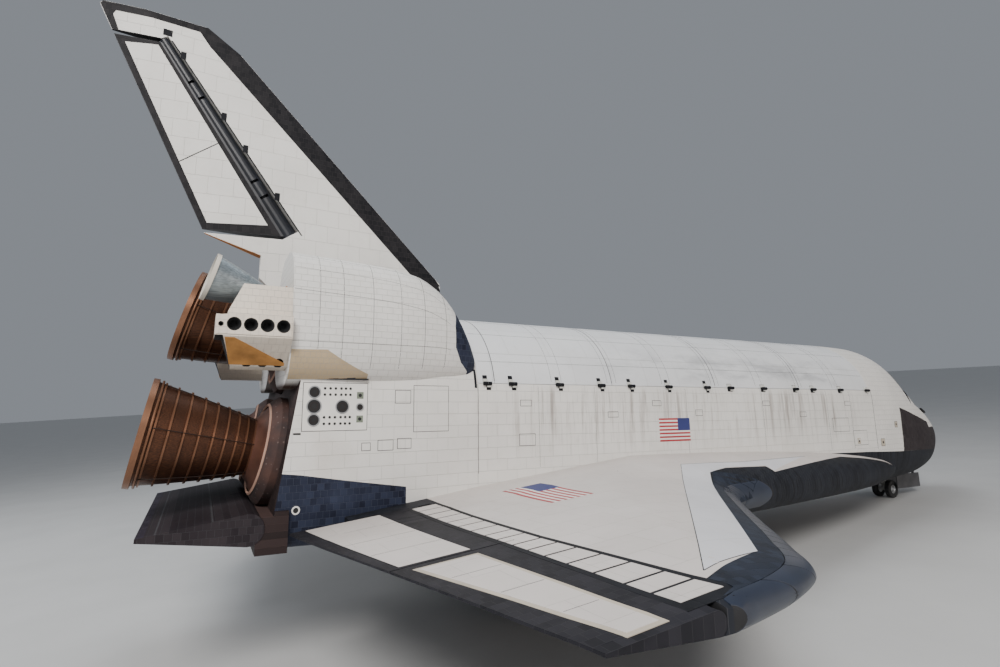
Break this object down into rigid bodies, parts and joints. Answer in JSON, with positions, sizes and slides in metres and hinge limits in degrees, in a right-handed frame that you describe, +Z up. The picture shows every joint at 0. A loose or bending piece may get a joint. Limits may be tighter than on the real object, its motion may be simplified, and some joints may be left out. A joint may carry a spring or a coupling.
{
  "type": "space shuttle",
  "caption": "Winged space plane on its landing gear, with opening payload bay doors, moving elevons, rudder with speed brake, body flap, gimballed engines and a crew hatch.",
  "frame": {"origin": "middle of the whole craft's box, on the ground under its tyres", "axes": "+X points forward along the ground, +Y to port, +Z up; the body stands 3.51 degrees nose down on its wheels"},
  "size_m": [36.4608, 23.7916, 17.2657],
  "materials": {
    "white_tile": "matte",
    "black_tile": "satin",
    "carbon": "satin",
    "window": "gloss",
    "interior": "matte",
    "structure": "satin",
    "heat_shield": "matte",
    "nozzle": "satin",
    "orbital_nozzle": "satin",
    "radiator": "polished",
    "gear_metal": "satin",
    "wheel_metal": "satin",
    "tyre": "matte"
  },
  "bodies": {
    "airframe": {"nose_cap": "carbon", "forward_thruster_module": "white_tile", "forward_fuselage": "white_tile", "windshield": "window", "crew_module": "interior", "mid_fuselage": "white_tile", "aft_fuselage": "white_tile", "thrust_structure": "structure", "centre_engine_dome": "heat_shield", "starboard_engine_dome": "heat_shield", "port_engine_dome": "heat_shield", "vertical_fin": "white_tile", "starboard_orbital_pod": "white_tile", "port_orbital_pod": "white_tile", "starboard_thruster_housing": "white_tile", "port_thruster_housing": "white_tile", "starboard_wing": "white_tile", "port_wing": "white_tile", "starboard_leading_edge": "carbon", "port_leading_edge": "carbon", "starboard_main_gear_leg": "gear_metal", "port_main_gear_leg": "gear_metal", "starboard_main_gear_door": "black_tile", "port_main_gear_door": "black_tile", "starboard_nose_gear_door": "black_tile", "port_nose_gear_door": "black_tile", "nose_gear_leg": "gear_metal"},
    "hatch": {"side_hatch": "white_tile"},
    "starboard_door": {"starboard_bay_door": "white_tile", "starboard_radiator": "radiator"},
    "port_door": {"port_bay_door": "white_tile", "port_radiator": "radiator"},
    "centre_engine": {"centre_main_engine": "nozzle"},
    "starboard_engine": {"starboard_main_engine": "nozzle"},
    "port_engine": {"port_main_engine": "nozzle"},
    "flap": {"body_flap": "black_tile"},
    "rudder": {"rudder_spine": "black_tile"},
    "starboard_brake": {"starboard_rudder_panel": "white_tile"},
    "port_brake": {"port_rudder_panel": "white_tile"},
    "starboard_orbital": {"starboard_orbital_engine": "orbital_nozzle"},
    "port_orbital": {"port_orbital_engine": "orbital_nozzle"},
    "starboard_inner_elevon": {"starboard_inboard_elevon": "white_tile"},
    "port_inner_elevon": {"port_inboard_elevon": "white_tile"},
    "starboard_outer_elevon": {"starboard_outboard_elevon": "white_tile"},
    "port_outer_elevon": {"port_outboard_elevon": "white_tile"},
    "starboard_wheels": {"starboard_main_hubs": "wheel_metal", "starboard_main_outer_tyre": "tyre", "starboard_main_inner_tyre": "tyre"},
    "port_wheels": {"port_main_hubs": "wheel_metal", "port_main_outer_tyre": "tyre", "port_main_inner_tyre": "tyre"},
    "nose_fork": {"nose_gear_fork": "gear_metal"},
    "nose_wheels": {"nose_hubs": "wheel_metal", "starboard_nose_tyre": "tyre", "port_nose_tyre": "tyre"}
  },
  "joints": [
    {"name": "starboard_door_hinge", "type": "hinge", "parent": "airframe", "child": "starboard_door", "pos_m": [0.3784, -2.67462, 5.88088], "axis": [0.9981, 0, -0.0612], "range_deg": [0, 175.5]},
    {"name": "port_door_hinge", "type": "hinge", "parent": "airframe", "child": "port_door", "pos_m": [0.3784, 2.67462, 5.88088], "axis": [-0.9981, 0, 0.0612], "range_deg": [0, 175.5]},
    {"name": "hatch_hinge", "type": "hinge", "parent": "airframe", "child": "hatch", "pos_m": [13.3173, 2.32156, 3.1634], "axis": [-0.9981, 0, 0.0612], "range_deg": [0, 90]},
    {"name": "centre_gimbal", "type": "hinge", "parent": "airframe", "child": "centre_engine", "pos_m": [-12.2558, 0, 7.3429], "axis": [0, -1, 0], "range_deg": [-10.5, 10.5]},
    {"name": "starboard_gimbal", "type": "hinge", "parent": "airframe", "child": "starboard_engine", "pos_m": [-12.9993, -1.3462, 4.8346], "axis": [0.0609, -0.9981, -0.0037], "range_deg": [-10.5, 10.5]},
    {"name": "port_gimbal", "type": "hinge", "parent": "airframe", "child": "port_engine", "pos_m": [-12.9993, 1.3462, 4.8346], "axis": [-0.0609, -0.9981, 0.0037], "range_deg": [-10.5, 10.5]},
    {"name": "starboard_orbital_gimbal", "type": "hinge", "parent": "airframe", "child": "starboard_orbital", "pos_m": [-14.0303, -2.2352, 8.6987], "axis": [0.113, -0.9936, -0.0069], "range_deg": [-6, 6]},
    {"name": "port_orbital_gimbal", "type": "hinge", "parent": "airframe", "child": "port_orbital", "pos_m": [-14.0303, 2.2352, 8.6987], "axis": [-0.113, -0.9936, 0.0069], "range_deg": [-6, 6]},
    {"name": "flap_hinge", "type": "hinge", "parent": "airframe", "child": "flap", "pos_m": [-14.6978, 0, 3.6247], "axis": [0, -1, 0], "range_deg": [-11.7, 22.5]},
    {"name": "rudder_hinge", "type": "hinge", "parent": "airframe", "child": "rudder", "pos_m": [-13.3731, 0, 10.9741], "axis": [-0.5199, 0, 0.8542], "range_deg": [-27.1, 27.1]},
    {"name": "starboard_brake_hinge", "type": "hinge", "parent": "rudder", "child": "starboard_brake", "pos_m": [-13.3731, 0, 10.9741], "axis": [-0.5199, 0, 0.8542], "range_deg": [0, 49.3]},
    {"name": "port_brake_hinge", "type": "hinge", "parent": "rudder", "child": "port_brake", "pos_m": [-13.3731, 0, 10.9741], "axis": [0.5199, 0, -0.8542], "range_deg": [0, 49.3]},
    {"name": "starboard_inner_elevon_hinge", "type": "hinge", "parent": "airframe", "child": "starboard_inner_elevon", "pos_m": [-11.0348, -3.5052, 3.1862], "axis": [0.0044, -0.9974, 0.0722], "range_deg": [-40, 25]},
    {"name": "port_inner_elevon_hinge", "type": "hinge", "parent": "airframe", "child": "port_inner_elevon", "pos_m": [-11.0348, 3.5052, 3.1862], "axis": [-0.0044, -0.9974, -0.0722], "range_deg": [-40, 25]},
    {"name": "starboard_outer_elevon_hinge", "type": "hinge", "parent": "airframe", "child": "starboard_outer_elevon", "pos_m": [-11.015, -7.9553, 3.5082], "axis": [0.0048, -0.9969, 0.0784], "range_deg": [-40, 25]},
    {"name": "port_outer_elevon_hinge", "type": "hinge", "parent": "airframe", "child": "port_outer_elevon", "pos_m": [-11.015, 7.9553, 3.5082], "axis": [-0.0048, -0.9969, -0.0784], "range_deg": [-40, 25]},
    {"name": "starboard_wheel_axle", "type": "hinge", "parent": "airframe", "child": "starboard_wheels", "pos_m": [-5.7244, -3.4798, 0.5636], "axis": [0, 1, 0], "continuous": true},
    {"name": "port_wheel_axle", "type": "hinge", "parent": "airframe", "child": "port_wheels", "pos_m": [-5.7244, 3.4798, 0.5636], "axis": [0, 1, 0], "continuous": true},
    {"name": "nose_steering", "type": "hinge", "parent": "airframe", "child": "nose_fork", "pos_m": [14.5728, 0, 2.05829], "axis": [0.0612, 0, 0.9981], "range_deg": [-10, 10]},
    {"name": "nose_wheel_axle", "type": "hinge", "parent": "nose_fork", "child": "nose_wheels", "pos_m": [14.47146, 0, 0.40612], "axis": [0, 1, 0], "continuous": true}
  ],
  "couplings": [
    {"joint": "port_brake_hinge", "follows": "starboard_brake_hinge", "ratio": 1}
  ]
}
